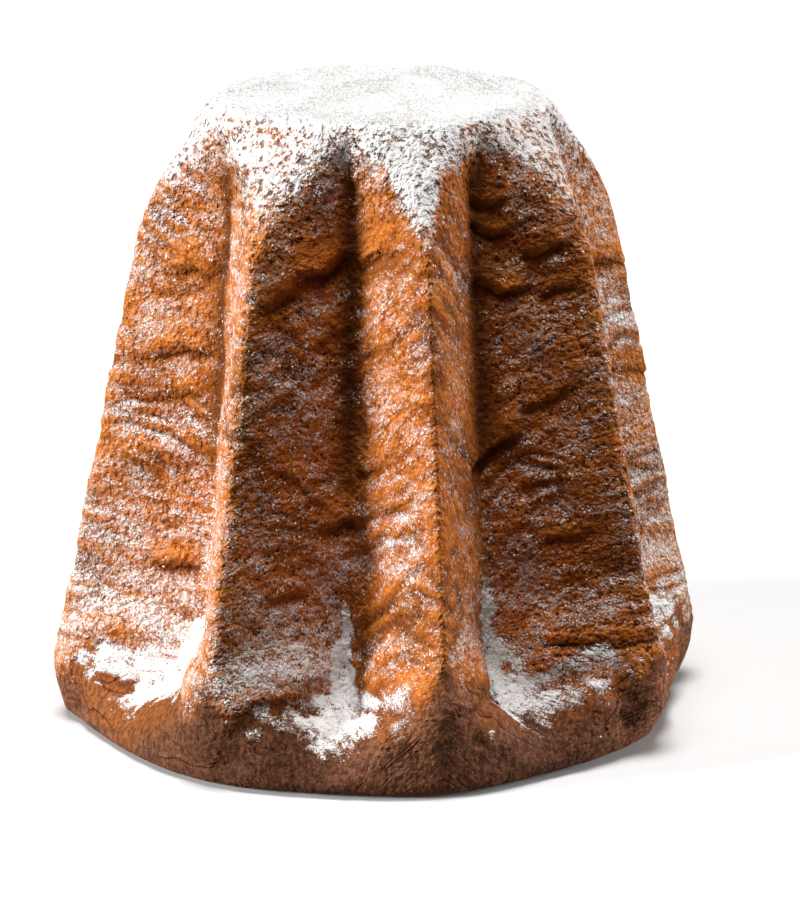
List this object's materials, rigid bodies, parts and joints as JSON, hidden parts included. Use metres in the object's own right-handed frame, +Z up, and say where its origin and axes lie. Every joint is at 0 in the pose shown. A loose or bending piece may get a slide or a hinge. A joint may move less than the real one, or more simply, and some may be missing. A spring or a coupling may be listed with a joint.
{
  "type": "pandoro cake",
  "caption": "Tall star-shaped sweet cake with a browned ridged crust, a flat octagonal top and a puffed foot, dusted with icing sugar.",
  "frame": {"origin": "middle of the flat underside, on the surface that the cake stands on", "axes": "+Z up along the axis of the star, -Y through the first ridge, which is the front right one in the picture, +X to the right as seen from the front"},
  "size_m": [0.2349, 0.2318, 0.221],
  "materials": {
    "crust": "matt browned cake crust with fine pores, dusted with white icing sugar"
  },
  "bodies": {
    "root": {"pandoro": "crust"}
  },
  "joints": []
}
